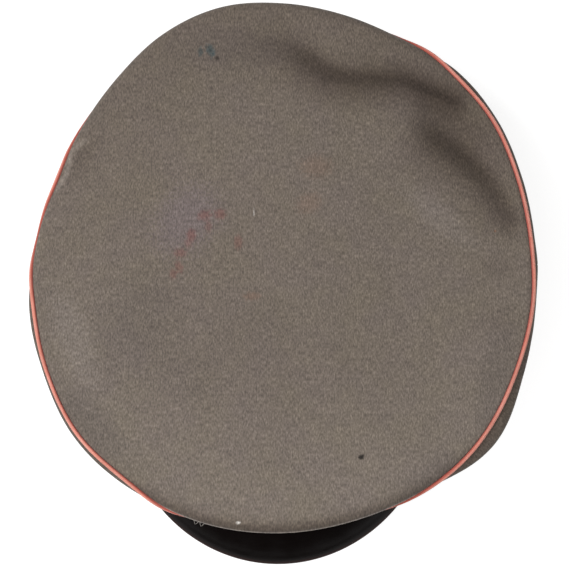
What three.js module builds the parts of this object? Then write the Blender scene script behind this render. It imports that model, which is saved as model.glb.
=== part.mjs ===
// A visor cap at rest: an oval cloth crown with coral piping in its rim seam, side cloth in two halves,
// an upright cloth band and a hard black visor. Millimetres, +Z up, the visor faces -Y.
// Every piece is a strip of sections, each in an upright plane through the crown's axis.
import * as THREE from "three";

// Sizes in the cap's own frame: its origin is the middle of the band's lower edge, before the cap leans.
const GAP = 0.3; // between neighbouring pieces
const BAND = { halfWidth: 84, halfLength: 103, height: 42, wall: 3, flattened: 1 };
const CROWN = {
  centreX: 3.5, // the crown sits a little to one side of the band,
  centreY: 27.2, // and well back over it
  height: 80, // of the top cloth, the mean of its rim
  frontLift: 12, // the rim rises towards the front and falls towards the back
  saddle: 6.5, // the front and back stand up and the sides hang down
  dish: 3.5, // the middle lies lower than a stretched film would
  roll: 5.5, // radius of the rolled rim
  wall: 2,
};
const SIDE = {
  tuck: 8, // how far the cloth runs on in line with the roll before it turns to the band
  lean: 0.32, // share of the way to the roll at which the cloth still stands
  rise: 4, // above the straight line
};
const PIPING = { radius: 1.1, proud: 0.3, room: 0.5, sides: 8 };
// The seams between the side cloth's halves: their bearings, and the bump there and its width in degrees.
const SIDE_SEAM = { left: -6, right: 186, allowance: 0.6, spread: 4 };
const VISOR = {
  reach: 39.7, // from the band to the tip
  drop: 34, // of the tip below the band's lower edge
  halfSpan: 46, // degrees each side of the front, seen from the crown's axis
  spread: 87, // degrees of a circle that the section spacing runs through, each side
  thickness: 2.2,
  bulge: 0.13, // the blade's rise, as a share of its drop
  rimWidth: 4,
  rimHeight: 0.15,
  flange: 9, // stands up inside the band
  taper: { reach: 0.9, drop: 0.8, flange: 0.5 }, // how fast each dies out towards the ends, as powers
  turn: 0.3, // radius of the bend from the flange to the blade
  seat: 0.5, // between the visor and the band at their sections
};

// The crown's rim at equal bearings, counter-clockwise from the wearer's left (+X); the back is at 90.
// reach: outside of the rolled rim from the crown's axis; seam: where the piping lies on the roll, in
// degrees above its outermost line; swell: how far the side cloth puffs out past the roll; lift: how much
// higher or lower the rim stands there.
const RIM = [
  { bearing: 0, reach: 132.8, seam: 54, swell: 0.7, lift: 0 },
  { bearing: 15, reach: 131.5, seam: 58, swell: 0.7, lift: -2 },
  { bearing: 30, reach: 132.0, seam: 58, swell: 0.7, lift: -4 },
  { bearing: 45, reach: 130.8, seam: 62, swell: 0.6, lift: -3 },
  { bearing: 60, reach: 126.3, seam: -16, swell: 0.2, lift: -1 },
  { bearing: 75, reach: 126.2, seam: -44, swell: 0, lift: 0 },
  { bearing: 90, reach: 128.2, seam: -45, swell: 0, lift: 0 },
  { bearing: 105, reach: 130.6, seam: -45, swell: 0, lift: 0 },
  { bearing: 120, reach: 129.1, seam: -45, swell: 0, lift: 0 },
  { bearing: 135, reach: 125.4, seam: -42, swell: 0, lift: 0 },
  { bearing: 150, reach: 124.0, seam: -20, swell: 0, lift: 0 },
  { bearing: 165, reach: 125.0, seam: 25, swell: 1.2, lift: 0 },
  { bearing: 180, reach: 130.4, seam: -14, swell: 0.3, lift: 0 },
  { bearing: 195, reach: 138.1, seam: 54, swell: 0.7, lift: 0 },
  { bearing: 210, reach: 144.2, seam: 50, swell: 0.6, lift: 0 },
  { bearing: 225, reach: 151.2, seam: 50, swell: 0.9, lift: 0 },
  { bearing: 240, reach: 154.0, seam: 40, swell: 1, lift: 0 },
  { bearing: 255, reach: 156.4, seam: -60, swell: 0, lift: 0 },
  { bearing: 270, reach: 155.9, seam: -45, swell: 0, lift: 0 },
  { bearing: 285, reach: 153.8, seam: -56, swell: 0, lift: 0 },
  { bearing: 300, reach: 152.0, seam: 8, swell: 2.4, lift: 0 },
  { bearing: 315, reach: 150.4, seam: 62, swell: 4.6, lift: 0 },
  { bearing: 330, reach: 143.6, seam: 66, swell: 1.4, lift: 0 },
  { bearing: 345, reach: 137.5, seam: 52, swell: 0.3, lift: 0 },
];

// Grooves in the top cloth, each along a curve through (x, y) with the crown's middle on its right.
// inside: width of the way down to the curve from the middle; outside: of the way up again to the rim;
// each at the curve's start and at its end.
const FOLDS = [
  {
    along: [
      [-36, 135], [-18, 139], [3, 138], [16, 133], [28, 124], [40, 120],
      [55, 119], [68, 118], [80, 113], [92, 107], [106, 101],
    ],
    inside: [20, 5],
    outside: [18, 5],
    depth: 4.5,
  },
  {
    along: [[72, 99], [84, 91], [100, 80], [117, 62], [129, 41], [134, 26]],
    inside: [18, 14],
    outside: [16, 6],
    depth: 4.5,
  },
];
// Shallow oval hollows, each with half of its length, along a line at that many degrees, and of its width.
const DENTS = [
  { x: 99, y: 88, length: 34, width: 16, turn: -48, depth: 3 },
  { x: 119, y: 11, length: 12, width: 5, turn: -8, depth: 1 },
  { x: 115, y: -18, length: 10, width: 6, turn: 10, depth: 1 },
];
const ROLL_END = { angle: -55, least: 12, puff: 60 }; // where the side leaves the roll; its swell builds up
const FOLD_ENDS = { from: 0.3, to: 0.9 }; // shares of a fold's length between which it has its full depth
const FOLD_FADE = 12; // a power: the folds die out just before the roll

// How finely the pieces are drawn.
const BEARINGS = 60; // sections round the crown
const BAND_BEARINGS = 96;
const TOP_RINGS = [0, 0.15, 0.3, 0.45, 0.58, 0.7, 0.8, 0.88, 0.94, 1]; // shares of the way to the roll
const ROLL_STEPS = 4;
const SIDE_STEPS = 5; // from the roll down to the band
const VISOR_SECTIONS = 32;
const BLADE_STEPS = 8;
const FOLD_STEPS = 24;

const cosine = (degrees) => Math.cos(THREE.MathUtils.degToRad(degrees));
const sine = (degrees) => Math.sin(THREE.MathUtils.degToRad(degrees));
const { lerp, smoothstep } = THREE.MathUtils;

// The lean: the rear of the band's lower edge and the visor's tip both end on the plane z = 0.
const tipY = BAND.halfLength + VISOR.reach;
const LEAN =
  Math.atan2(VISOR.drop, BAND.halfLength + tipY) +
  Math.asin(BAND.flattened / Math.hypot(BAND.halfLength + tipY, VISOR.drop));
const LIFT = BAND.halfLength * Math.sin(LEAN) - BAND.flattened;
const surfaceHeight = (y) => (y * Math.sin(LEAN) - LIFT) / Math.cos(LEAN);

// A column of the rim table as a smooth closed curve over the bearing.
function rim(column, bearing) {
  const rows = RIM.length;
  const place = (((bearing / 360) * rows) % rows) + rows;
  const row = Math.floor(place);
  const part = place - row;
  const [before, from, to, after] = [-1, 0, 1, 2].map((step) => RIM[(row + step) % rows][column]);
  const slope = part * (3 * (from - to) + after - before);
  const bend = 2 * before - 5 * from + 4 * to - after + slope;
  return from + 0.5 * part * (to - before + part * bend);
}

// The band's outside from the crown's axis, less an inset: a ray meets an ellipse.
function bandReach(bearing, inset = 0) {
  const a = BAND.halfWidth - inset;
  const b = BAND.halfLength - inset;
  const across = (cosine(bearing) / a) ** 2 + (sine(bearing) / b) ** 2;
  const along = (cosine(bearing) * CROWN.centreX) / a ** 2 + (sine(bearing) * CROWN.centreY) / b ** 2;
  const inside = (CROWN.centreX / a) ** 2 + (CROWN.centreY / b) ** 2 - 1;
  return (Math.sqrt(along ** 2 - across * inside) - along) / across;
}

const sectionY = (bearing, out) => CROWN.centreY + out * sine(bearing);

// A point of a section: out from the crown's axis and up from the band's lower edge.
const sectionPoint = (bearing, [out, up]) =>
  new THREE.Vector3(CROWN.centreX + out * cosine(bearing), sectionY(bearing, out), up);

const foldCurves = FOLDS.map((fold) => {
  const points = fold.along.map(([x, y]) => new THREE.Vector3(x, y, 0));
  return new THREE.CatmullRomCurve3(points).getPoints(FOLD_STEPS);
});

// How far the folds and dents press the top cloth down at (x, y).
function foldDepth(x, y) {
  const here = new THREE.Vector3(x, y, 0);
  const folded = FOLDS.map(({ inside, outside, depth }, i) => {
    const curve = foldCurves[i];
    const away = curve.map((point) => point.distanceTo(here));
    const step = away.indexOf(Math.min(...away));
    const run = curve[Math.min(step + 1, FOLD_STEPS)].clone().sub(curve[Math.max(step - 1, 0)]);
    const inward = (curve[step].y - y) * run.x > (curve[step].x - x) * run.y;
    const share = step / FOLD_STEPS;
    const strength = smoothstep(share, 0, FOLD_ENDS.from) * (1 - smoothstep(share, FOLD_ENDS.to, 1));
    const [first, last] = inward ? inside : outside;
    const width = lerp(first, last, share);
    return depth * strength * (1 - smoothstep(away[step], 0, width));
  });
  const dented = DENTS.map(({ x: middleX, y: middleY, length, width, turn, depth }) => {
    const along = (x - middleX) * cosine(turn) + (y - middleY) * sine(turn);
    const across = (y - middleY) * cosine(turn) - (x - middleX) * sine(turn);
    return depth * Math.exp(-((along / length) ** 2) - (across / width) ** 2);
  });
  return [...folded, ...dented].reduce((sum, part) => sum + part, 0);
}

// Height and outward slope of the top cloth, at a share of the way from the crown's axis to the roll.
function topHeight(share, bearing) {
  const waves = CROWN.frontLift * share * sine(bearing) + CROWN.saddle * share ** 2 * cosine(2 * bearing);
  return CROWN.height - waves - CROWN.dish * (1 - share ** 4) + rim("lift", bearing) * share ** 4;
}
function rimSlope(bearing) {
  const waves = CROWN.frontLift * sine(bearing) + 2 * CROWN.saddle * cosine(2 * bearing);
  return (4 * (CROWN.dish + rim("lift", bearing)) - waves) / rim("reach", bearing);
}

// The rolled rim at a bearing: its centre and the angle at which it takes over from the top.
function roll(bearing) {
  const start = 90 + THREE.MathUtils.radToDeg(Math.atan(rimSlope(bearing)));
  return {
    start,
    out: rim("reach", bearing) - CROWN.roll,
    up: topHeight(1, bearing) - CROWN.roll * sine(start),
    seam: rim("seam", bearing),
  };
}
const rollPoint = ({ out, up }, angle, radius = CROWN.roll) => [
  out + radius * cosine(angle),
  up + radius * sine(angle),
];
// Half of the gap in the cloth that the piping lies in, in degrees of the roll.
const SEAM_HALF = THREE.MathUtils.radToDeg(
  Math.asin((PIPING.radius + PIPING.room) / (CROWN.roll + PIPING.proud)),
);

// The other face of a wall: each point of a section moved square to it, to the right of the way it runs.
function offset(path, distance) {
  return path.map(([out, up], i) => {
    const [beforeOut, beforeUp] = path[Math.max(i - 1, 0)];
    const [afterOut, afterUp] = path[Math.min(i + 1, path.length - 1)];
    const length = Math.hypot(afterOut - beforeOut, afterUp - beforeUp);
    return [
      out + (distance * (afterUp - beforeUp)) / length,
      up - (distance * (afterOut - beforeOut)) / length,
    ];
  });
}

// One closed wall between two surfaces of sections, which run counter-clockwise and each outwards or
// down. A ring joins its last section to its first; at a pole all the sections share their first point.
function wall(name, material, outer, inner, { ring = false, pole = false } = {}) {
  const sections = outer.length;
  const points = outer[0].length;
  const at = (face, i, j) => (face * sections + (pole && j === 0 ? 0 : i % sections)) * points + j;
  const faces = [];
  const quad = (a, b, c, d) => {
    [[a, b, c], [a, c, d]]
      .filter((corners) => new Set(corners).size === 3)
      .forEach((corners) => faces.push(...corners));
  };
  for (let i = 0; i < (ring ? sections : sections - 1); i++) {
    for (let j = 0; j < points - 1; j++) {
      quad(at(0, i, j), at(0, i, j + 1), at(0, i + 1, j + 1), at(0, i + 1, j));
      quad(at(1, i, j), at(1, i + 1, j), at(1, i + 1, j + 1), at(1, i, j + 1));
    }
    const last = points - 1;
    quad(at(0, i, last), at(1, i, last), at(1, i + 1, last), at(0, i + 1, last));
    if (!pole) quad(at(0, i, 0), at(0, i + 1, 0), at(1, i + 1, 0), at(1, i, 0));
  }
  if (!ring) {
    for (let j = 0; j < points - 1; j++) {
      const last = sections - 1;
      quad(at(0, 0, j), at(1, 0, j), at(1, 0, j + 1), at(0, 0, j + 1));
      quad(at(0, last, j), at(0, last, j + 1), at(1, last, j + 1), at(1, last, j));
    }
  }
  const geometry = new THREE.BufferGeometry().setFromPoints([...outer.flat(), ...inner.flat()]);
  geometry.setIndex(faces);
  geometry.computeVertexNormals();
  const mesh = new THREE.Mesh(geometry, material);
  mesh.name = name;
  return mesh;
}

const toPoints = (bearing, path) => path.map((point) => sectionPoint(bearing, point));
const evenly = (count, from, to) => Array.from({ length: count + 1 }, (_, i) => lerp(from, to, i / count));
const allRound = (count) => evenly(count, 0, 360).slice(0, -1);

const cloth = new THREE.MeshStandardMaterial({ color: 0x746a60, roughness: 0.95, metalness: 0 });
const coral = new THREE.MeshStandardMaterial({ color: 0xea8270, roughness: 0.9, metalness: 0 });
const lacquer = new THREE.MeshStandardMaterial({ color: 0x0e0b0a, roughness: 0.2, metalness: 0 });

function crownTop() {
  const outer = [];
  const inner = [];
  for (const bearing of allRound(BEARINGS)) {
    const rolled = roll(bearing);
    const [edgeOut] = rollPoint(rolled, rolled.start);
    const film = TOP_RINGS.map((share) => {
      const out = edgeOut * share;
      const fold = foldDepth(CROWN.centreX + out * cosine(bearing), sectionY(bearing, out));
      return [out, topHeight(share, bearing) - fold * (1 - share ** FOLD_FADE)];
    });
    const arc = evenly(ROLL_STEPS, rolled.start, rolled.seam + SEAM_HALF).slice(1);
    const path = [...film, ...arc.map((angle) => rollPoint(rolled, angle))];
    const under = offset(path, CROWN.wall);
    under[0] = [0, path[0][1] - CROWN.wall];
    outer.push(toPoints(bearing, path));
    inner.push(toPoints(bearing, under));
  }
  return wall("crown_top", cloth, outer, inner, { ring: true, pole: true });
}

// The side cloth from its edge at the piping, round the rest of the roll and in to the band's top.
function sidePath(bearing) {
  const rolled = roll(bearing);
  const from = rolled.seam - SEAM_HALF;
  const to = Math.min(from - ROLL_END.least, ROLL_END.angle);
  const swell = rim("swell", bearing);
  const fromSeam = (seam) => Math.abs(((bearing - seam + 540) % 360) - 180);
  const seamAway = Math.min(fromSeam(SIDE_SEAM.left), fromSeam(SIDE_SEAM.right));
  const bump = SIDE_SEAM.allowance * Math.exp(-((seamAway / SIDE_SEAM.spread) ** 2));
  const arc = evenly(ROLL_STEPS, from, to).map((angle) => {
    const puff = smoothstep(from - angle, 0, ROLL_END.puff);
    return rollPoint(rolled, angle, CROWN.roll + (swell + bump) * puff);
  });
  const [startOut, startUp] = arc[ROLL_STEPS];
  const endOut = bandReach(bearing);
  const endUp = BAND.height + GAP;
  const curve = new THREE.CubicBezierCurve(
    new THREE.Vector2(startOut, startUp),
    new THREE.Vector2(startOut + sine(to) * SIDE.tuck, startUp - cosine(to) * SIDE.tuck),
    new THREE.Vector2(lerp(endOut, startOut, SIDE.lean), lerp(endUp, startUp, SIDE.lean) + SIDE.rise),
    new THREE.Vector2(endOut, endUp),
  );
  const rest = curve.getPoints(SIDE_STEPS).slice(1);
  return [...arc, ...rest.map((point) => [point.x, point.y])];
}

function crownSide(name, from, to) {
  const gapHalf = THREE.MathUtils.radToDeg(GAP / 2 / bandReach(from));
  const sections = ((to - from) / 360) * BEARINGS;
  const bearings = evenly(sections, from, to);
  bearings[0] += gapHalf;
  bearings[sections] -= gapHalf;
  const paths = bearings.map((bearing) => [bearing, sidePath(bearing)]);
  const outer = paths.map(([bearing, path]) => toPoints(bearing, path));
  const inner = paths.map(([bearing, path]) => {
    const face = offset(path, CROWN.wall);
    const foot = path[path.length - 1];
    face[face.length - 1] = [bandReach(bearing, CROWN.wall), foot[1]];
    return toPoints(bearing, face);
  });
  return wall(name, cloth, outer, inner);
}

function crownPiping() {
  const rings = allRound(BEARINGS).map((bearing) => {
    const rolled = roll(bearing);
    const [out, up] = rollPoint(rolled, rolled.seam, CROWN.roll + PIPING.proud);
    const turns = allRound(PIPING.sides);
    const circle = turns.map((turn) => rollPoint({ out, up }, rolled.seam - turn, PIPING.radius));
    return toPoints(bearing, circle);
  });
  const at = (i, j) => (i % BEARINGS) * PIPING.sides + (j % PIPING.sides);
  const faces = [];
  for (let i = 0; i < BEARINGS; i++) {
    for (let j = 0; j < PIPING.sides; j++) {
      faces.push(at(i, j), at(i, j + 1), at(i + 1, j + 1));
      faces.push(at(i, j), at(i + 1, j + 1), at(i + 1, j));
    }
  }
  const geometry = new THREE.BufferGeometry().setFromPoints(rings.flat());
  geometry.setIndex(faces);
  geometry.computeVertexNormals();
  const mesh = new THREE.Mesh(geometry, coral);
  mesh.name = "crown_piping";
  return mesh;
}

// The band, upright and oval; its lower edge is flattened where it rests on the surface.
function band() {
  const face = (inset) =>
    allRound(BAND_BEARINGS).map((bearing) => {
      const out = bandReach(bearing, inset);
      const foot = Math.max(0, surfaceHeight(sectionY(bearing, out)));
      return toPoints(bearing, [BAND.height, foot].map((up) => [out, up]));
    });
  return wall("band", cloth, face(0), face(BAND.wall), { ring: true });
}

// The visor: a flange inside the band, a turn under its lower edge, and the blade with its raised rim.
function visor() {
  const half = VISOR.thickness / 2;
  const outer = [];
  const inner = [];
  for (const turn of evenly(VISOR_SECTIONS, -VISOR.spread, VISOR.spread)) {
    const bearing = 270 + VISOR.halfSpan * sine(turn);
    const reach = VISOR.reach * cosine(turn) ** VISOR.taper.reach;
    const drop = VISOR.drop * cosine(turn) ** VISOR.taper.drop;
    const flange = VISOR.flange * cosine(turn) ** VISOR.taper.flange;
    const root = bandReach(bearing);
    const inside = bandReach(bearing, BAND.wall) - VISOR.seat - half;
    const under = -VISOR.seat - half;
    const edge = half / Math.hypot(1, ((1 + 4 * VISOR.bulge) * drop) / reach) - drop;
    const blade = evenly(BLADE_STEPS, 0, 1).map((share) => {
      const rise = VISOR.bulge * drop * 4 * share * (1 - share);
      return [root + reach * share, lerp(under, edge, share) + rise];
    });
    const stem = [
      [inside, flange],
      [inside, flange / 3],
      [inside + VISOR.turn, under + VISOR.turn],
    ];
    const path = [...stem, ...blade];
    const top = offset(path, -half).map(([out, up], i) => {
      const toEdge = root + reach - path[i][0];
      const rimRise = VISOR.rimHeight * (1 - smoothstep(toEdge, VISOR.rimWidth - 1, VISOR.rimWidth + 1));
      return [out, up + (i >= stem.length ? rimRise * Math.min(1, reach / VISOR.rimWidth / 4) : 0)];
    });
    const underside = offset(path, half);
    const onSurface = ([out, up]) => [out, Math.max(up, surfaceHeight(sectionY(bearing, out)))];
    outer.push(toPoints(bearing, top.map(onSurface)));
    inner.push(toPoints(bearing, underside.map(onSurface)));
  }
  return wall("visor", lacquer, outer, inner);
}

const cap = new THREE.Group();
cap.add(
  crownTop(),
  crownPiping(),
  crownSide("crown_side_back", SIDE_SEAM.left, SIDE_SEAM.right),
  crownSide("crown_side_front", SIDE_SEAM.right, SIDE_SEAM.left + 360),
  band(),
  visor(),
);
cap.rotation.x = -LEAN;
cap.position.z = LIFT;

// The part's origin is under the middle of its box, on the surface that it rests on.
const part = new THREE.Group();
part.add(cap);
const middle = new THREE.Box3().setFromObject(part, true).getCenter(new THREE.Vector3());
cap.position.x -= middle.x;
cap.position.y -= middle.y;

export default part;
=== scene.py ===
"""A visor cap: an oval crown of grey-brown wool with coral piping in its rim seam, side cloth in two
halves, an upright cloth band and a black lacquered visor, with stitches and a loose curl of thread. It
lies on the band's rear and the visor's tip. Lengths are metres, and bearings and turns are degrees.
The script is laid out as an add-on, and main() makes each piece with its operator."""

import math
from typing import NamedTuple

import bmesh
import bpy
import numpy as np
from bpy.props import FloatProperty, FloatVectorProperty, IntProperty, PointerProperty
from bpy.types import Operator, Panel, PropertyGroup
from mathutils import Matrix, Vector, noise


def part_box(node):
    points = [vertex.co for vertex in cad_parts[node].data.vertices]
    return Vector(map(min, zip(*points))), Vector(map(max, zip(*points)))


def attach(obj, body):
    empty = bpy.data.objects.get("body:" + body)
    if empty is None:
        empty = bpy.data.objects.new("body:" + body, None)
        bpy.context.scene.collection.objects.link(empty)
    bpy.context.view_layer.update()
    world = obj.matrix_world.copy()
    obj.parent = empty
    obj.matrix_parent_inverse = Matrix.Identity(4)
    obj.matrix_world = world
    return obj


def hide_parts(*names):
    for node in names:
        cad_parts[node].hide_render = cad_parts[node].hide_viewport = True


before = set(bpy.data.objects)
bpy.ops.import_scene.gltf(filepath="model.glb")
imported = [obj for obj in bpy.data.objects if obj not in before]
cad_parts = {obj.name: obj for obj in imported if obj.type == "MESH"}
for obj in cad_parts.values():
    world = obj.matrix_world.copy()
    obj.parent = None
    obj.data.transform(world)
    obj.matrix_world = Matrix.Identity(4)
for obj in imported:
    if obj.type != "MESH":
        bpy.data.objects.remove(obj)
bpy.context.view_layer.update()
BAND_LOW, BAND_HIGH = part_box("band")
FLOOR = min(BAND_LOW.z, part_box("visor")[0].z)

bl_info = {
    "name": "Visor Cap",
    "version": (1, 0, 0),
    "blender": (4, 5, 0),
    "location": "3D View > Sidebar > Visor Cap",
    "description": "Makes a wool visor cap with coral piping, piece by piece",
    "category": "Object",
}

# ---------------------------------------------------------------- tables


class Rim(NamedTuple):
    """The crown's rim at one bearing, counter-clockwise from the wearer's left; the back is at 90."""

    bearing: float
    reach: float  # outside of the rolled rim from the crown's axis
    seam: float  # where the piping lies on the roll, in degrees above its outermost line
    swell: float  # how far the side cloth puffs out past the roll
    lift: float  # how much higher or lower the rim stands there


RIM = (
    Rim(0, 0.1328, 54, 0.0007, 0),
    Rim(15, 0.1315, 58, 0.0007, -0.002),
    Rim(30, 0.1320, 58, 0.0007, -0.004),
    Rim(45, 0.1308, 62, 0.0006, -0.003),
    Rim(60, 0.1263, -16, 0.0002, -0.001),
    Rim(75, 0.1262, -44, 0, 0),
    Rim(90, 0.1282, -45, 0, 0),
    Rim(105, 0.1306, -45, 0, 0),
    Rim(120, 0.1291, -45, 0, 0),
    Rim(135, 0.1254, -42, 0, 0),
    Rim(150, 0.1240, -20, 0, 0),
    Rim(165, 0.1250, 25, 0.0012, 0),
    Rim(180, 0.1304, -14, 0.0003, 0),
    Rim(195, 0.1381, 54, 0.0007, 0),
    Rim(210, 0.1442, 50, 0.0006, 0),
    Rim(225, 0.1512, 50, 0.0009, 0),
    Rim(240, 0.1540, 40, 0.001, 0),
    Rim(255, 0.1564, -60, 0, 0),
    Rim(270, 0.1559, -45, 0, 0),
    Rim(285, 0.1538, -56, 0, 0),
    Rim(300, 0.1520, 8, 0.0024, 0),
    Rim(315, 0.1504, 62, 0.0046, 0),
    Rim(330, 0.1436, 66, 0.0014, 0),
    Rim(345, 0.1375, 52, 0.0003, 0),
)


class Fold(NamedTuple):
    """A groove in the top cloth along a smooth curve, with the crown's middle on the curve's right."""

    along: tuple  # points (x, y) that its bottom follows
    inside: tuple  # width of the way down to the curve from the middle, at its start and at its end
    outside: tuple  # width of the way up again to the rim, at the curve's start and at its end
    depth: float
    shade: float  # painted shade: how much darker the way down to it is painted
    shaded: tuple  # shares of the fold's length between which it is so dark
    fades: tuple  # how far the painted shade reaches towards the middle, at the start and at the end


FOLDS = (
    Fold(
        along=(
            (-0.036, 0.135), (-0.018, 0.139), (0.003, 0.138), (0.016, 0.133), (0.028, 0.124), (0.040, 0.120),
            (0.055, 0.119), (0.068, 0.118), (0.080, 0.113), (0.092, 0.107), (0.106, 0.101),
        ),
        inside=(0.020, 0.005),
        outside=(0.018, 0.005),
        depth=0.0045,
        shade=0.50,
        shaded=(0.48, 0.92),
        fades=(0.020, 0.009),
    ),
    Fold(
        along=(
            (0.072, 0.099), (0.084, 0.091), (0.100, 0.080), (0.117, 0.062), (0.129, 0.041), (0.134, 0.026),
        ),
        inside=(0.018, 0.014),
        outside=(0.016, 0.006),
        depth=0.0045,
        shade=0.38,
        shaded=(0.3, 0.8),
        fades=(0.022, 0.011),
    ),
)


class Dent(NamedTuple):
    """A shallow oval hollow in the top cloth, or a raised lip where depth and shade are below 0."""

    x: float
    y: float
    length: float
    width: float
    turn: float
    depth: float
    shade: float  # painted shade: how much darker it is painted there, or a painted highlight where below 0


DENTS = (
    Dent(0.099, 0.088, 0.034, 0.016, -48, 0.003, 0.34),
    Dent(0.119, 0.011, 0.012, 0.005, -8, 0.001, 0.10),
    Dent(0.115, -0.018, 0.010, 0.006, 10, 0.001, 0.10),
    # raised lips beside the rim, painted paler as a highlight; the last row is a hollow inside them, painted
    # darker as shade
    Dent(-0.1050, 0.0775, 0.0050, 0.0013, 36, -0.0010, -0.55),
    Dent(-0.1106, 0.0680, 0.0060, 0.0013, 80, -0.0010, -0.60),
    Dent(-0.1145, 0.0570, 0.0060, 0.0013, 63, -0.0010, -0.55),
    Dent(-0.1030, 0.0700, 0.0140, 0.0050, 62, 0.0010, 0.14),
)


class Stain(NamedTuple):
    """A mark on the top cloth, at (x, y) in the cap's own frame."""

    x: float
    y: float
    length: float
    width: float
    turn: float
    strength: float
    colour: tuple


BLUE = (0.035, 0.075, 0.085)
RED = (0.19, 0.062, 0.052)
RUST = (0.26, 0.13, 0.08)
PURPLE = (0.172, 0.138, 0.138)
# painted shade: the stains in this colour are darker places painted where the top cloth lies in shade
PAINTED_SHADE = (0.115, 0.094, 0.084)
WORN = (0.215, 0.182, 0.160)
DARK = (0.02, 0.016, 0.014)
PALE = (0.75, 0.72, 0.68)
STAINS = (
    Stain(-0.048, 0.036, 0.026, 0.020, 60, 0.70, PURPLE),
    Stain(-0.074, -0.022, 0.040, 0.026, 70, 0.34, PAINTED_SHADE),
    Stain(-0.096, -0.072, 0.034, 0.013, 135, 0.48, PAINTED_SHADE),
    Stain(0.114, -0.048, 0.042, 0.012, 76, 0.48, PAINTED_SHADE),
    Stain(-0.106, -0.026, 0.034, 0.012, 108, 0.42, WORN),
    Stain(0.086, 0.038, 0.030, 0.010, -42, 0.40, WORN),
    Stain(0.078, -0.098, 0.024, 0.011, 35, 0.30, PAINTED_SHADE),
    Stain(-0.020, 0.129, 0.045, 0.014, 0, 0.30, PAINTED_SHADE),
    Stain(-0.010, -0.022, 0.034, 0.026, 30, 0.15, PAINTED_SHADE),
    Stain(-0.048, -0.048, 0.024, 0.020, 0, 0.22, PAINTED_SHADE),
    Stain(0.021, 0.065, 0.011, 0.008, 0, 0.15, RUST),
    Stain(0.017, 0.045, 0.009, 0.007, 30, 0.15, RUST),
    Stain(-0.013, -0.005, 0.006, 0.003, 0, 0.22, RUST),
    Stain(-0.0357, 0.1290, 0.0030, 0.0042, 20, 0.60, BLUE),
    Stain(-0.0409, 0.1279, 0.0018, 0.0034, 0, 0.50, BLUE),
    Stain(-0.0341, 0.1262, 0.0030, 0.0012, 60, 0.45, BLUE),
    Stain(-0.0319, 0.1242, 0.0014, 0.0018, 0, 0.70, DARK),
    Stain(-0.0383, 0.0387, 0.0049, 0.0035, 20, 0.42, RED),
    Stain(-0.0299, 0.0392, 0.0041, 0.0038, 0, 0.42, RED),
    Stain(-0.0361, 0.0327, 0.0024, 0.0046, 0, 0.30, RED),
    Stain(-0.0449, 0.0279, 0.0032, 0.0046, 0, 0.47, RED),
    Stain(-0.0466, 0.0236, 0.0027, 0.0038, 0, 0.30, RED),
    Stain(-0.0508, 0.0182, 0.0043, 0.0035, 0, 0.38, RED),
    Stain(-0.0514, 0.0106, 0.0027, 0.0043, 20, 0.36, RED),
    Stain(-0.0543, 0.0069, 0.0027, 0.0035, 0, 0.34, RED),
    Stain(-0.0203, 0.0240, 0.0030, 0.0051, 0, 0.34, RED),
    Stain(0.1155, 0.0304, 0.0009, 0.0009, 0, 0.60, RUST),
    Stain(0.0434, -0.0900, 0.0020, 0.0017, 0, 0.95, DARK),
    Stain(-0.0193, -0.1237, 0.0014, 0.0010, 10, 0.95, PALE),
    Stain(-0.0121, 0.0403, 0.0004, 0.0024, 0, 0.35, PALE),
)

# ---------------------------------------------------------------- settings


def size(name, description, default):
    return FloatProperty(
        name=name, description=description, default=default, unit="LENGTH", precision=4
    )


def share(name, description, default):
    return FloatProperty(name=name, description=description, default=default, precision=3)


def watts(name, description, default):
    return FloatProperty(name=name, description=description, default=default, unit="POWER")


def colour(name, description, default):
    return FloatVectorProperty(
        name=name, description=description, default=default, subtype="COLOR", min=0, max=1
    )


class CrownSettings(PropertyGroup):
    """Sizes of the crown: its top cloth, its rolled rim and its side cloth."""

    centre: FloatVectorProperty(
        name="Centre",
        description="Place of the crown's axis, from the middle of the band",
        default=(0.0035, 0.0272),
        size=2,
        unit="LENGTH",
        precision=4,
    )
    height: size("Height", "Height of the top cloth, as the mean of its rim", 0.080)
    front_lift: size("Front Lift", "How far the rim rises at the front and falls at the back", 0.012)
    saddle: size("Saddle", "How far the front and back stand up and the sides hang down", 0.0065)
    dish: size("Dish", "How much lower the middle lies than a stretched film would", 0.0035)
    roll: size("Roll", "Radius of the rolled rim", 0.0055)
    wall: size("Wall", "Thickness of the cloth", 0.002)
    tuck: size("Tuck", "How far the side cloth runs on in line with the roll", 0.008)
    lean: share("Lean", "Share of the way to the roll at which the side cloth still stands", 0.32)
    rise: size("Rise", "How far the side cloth stands above the straight line", 0.004)
    waves: size("Waves", "Height of the slow waves in the top cloth", 0.0010)
    puckers: size("Puckers", "Height of the puckers beside the piping", 0.00018)
    gathers: size("Gathers", "Depth of the slack folds in the side cloth", 0.0012)


class PipingSettings(PropertyGroup):
    """Size and colour of the piping."""

    radius: size("Radius", "Radius of the piping", 0.0011)
    proud: size("Proud", "How far its centre lies outside the roll", 0.0003)
    colour: colour("Colour", "Colour of its cloth", (0.76, 0.235, 0.165))
    worn: colour("Worn Colour", "Colour where it is rubbed and faded", (0.90, 0.53, 0.45))
    # painted shade: the darker red painted where the piping sinks into the seam
    seam: colour("Seam Colour", "Colour where it sinks into the seam", (0.42, 0.085, 0.06))


class BandSettings(PropertyGroup):
    """Sizes of the band."""

    half_width: size("Half Width", "Half of its width outside", (BAND_HIGH.x - BAND_LOW.x) / 2)
    half_length: size("Half Length", "Half of its length outside", 0.103)
    height: size("Height", "Height of the band", 0.042)
    wall: size("Wall", "Thickness of the band", 0.003)
    flattened: size("Flattened", "How far its rear lower edge is pressed flat", 0.001)


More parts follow.
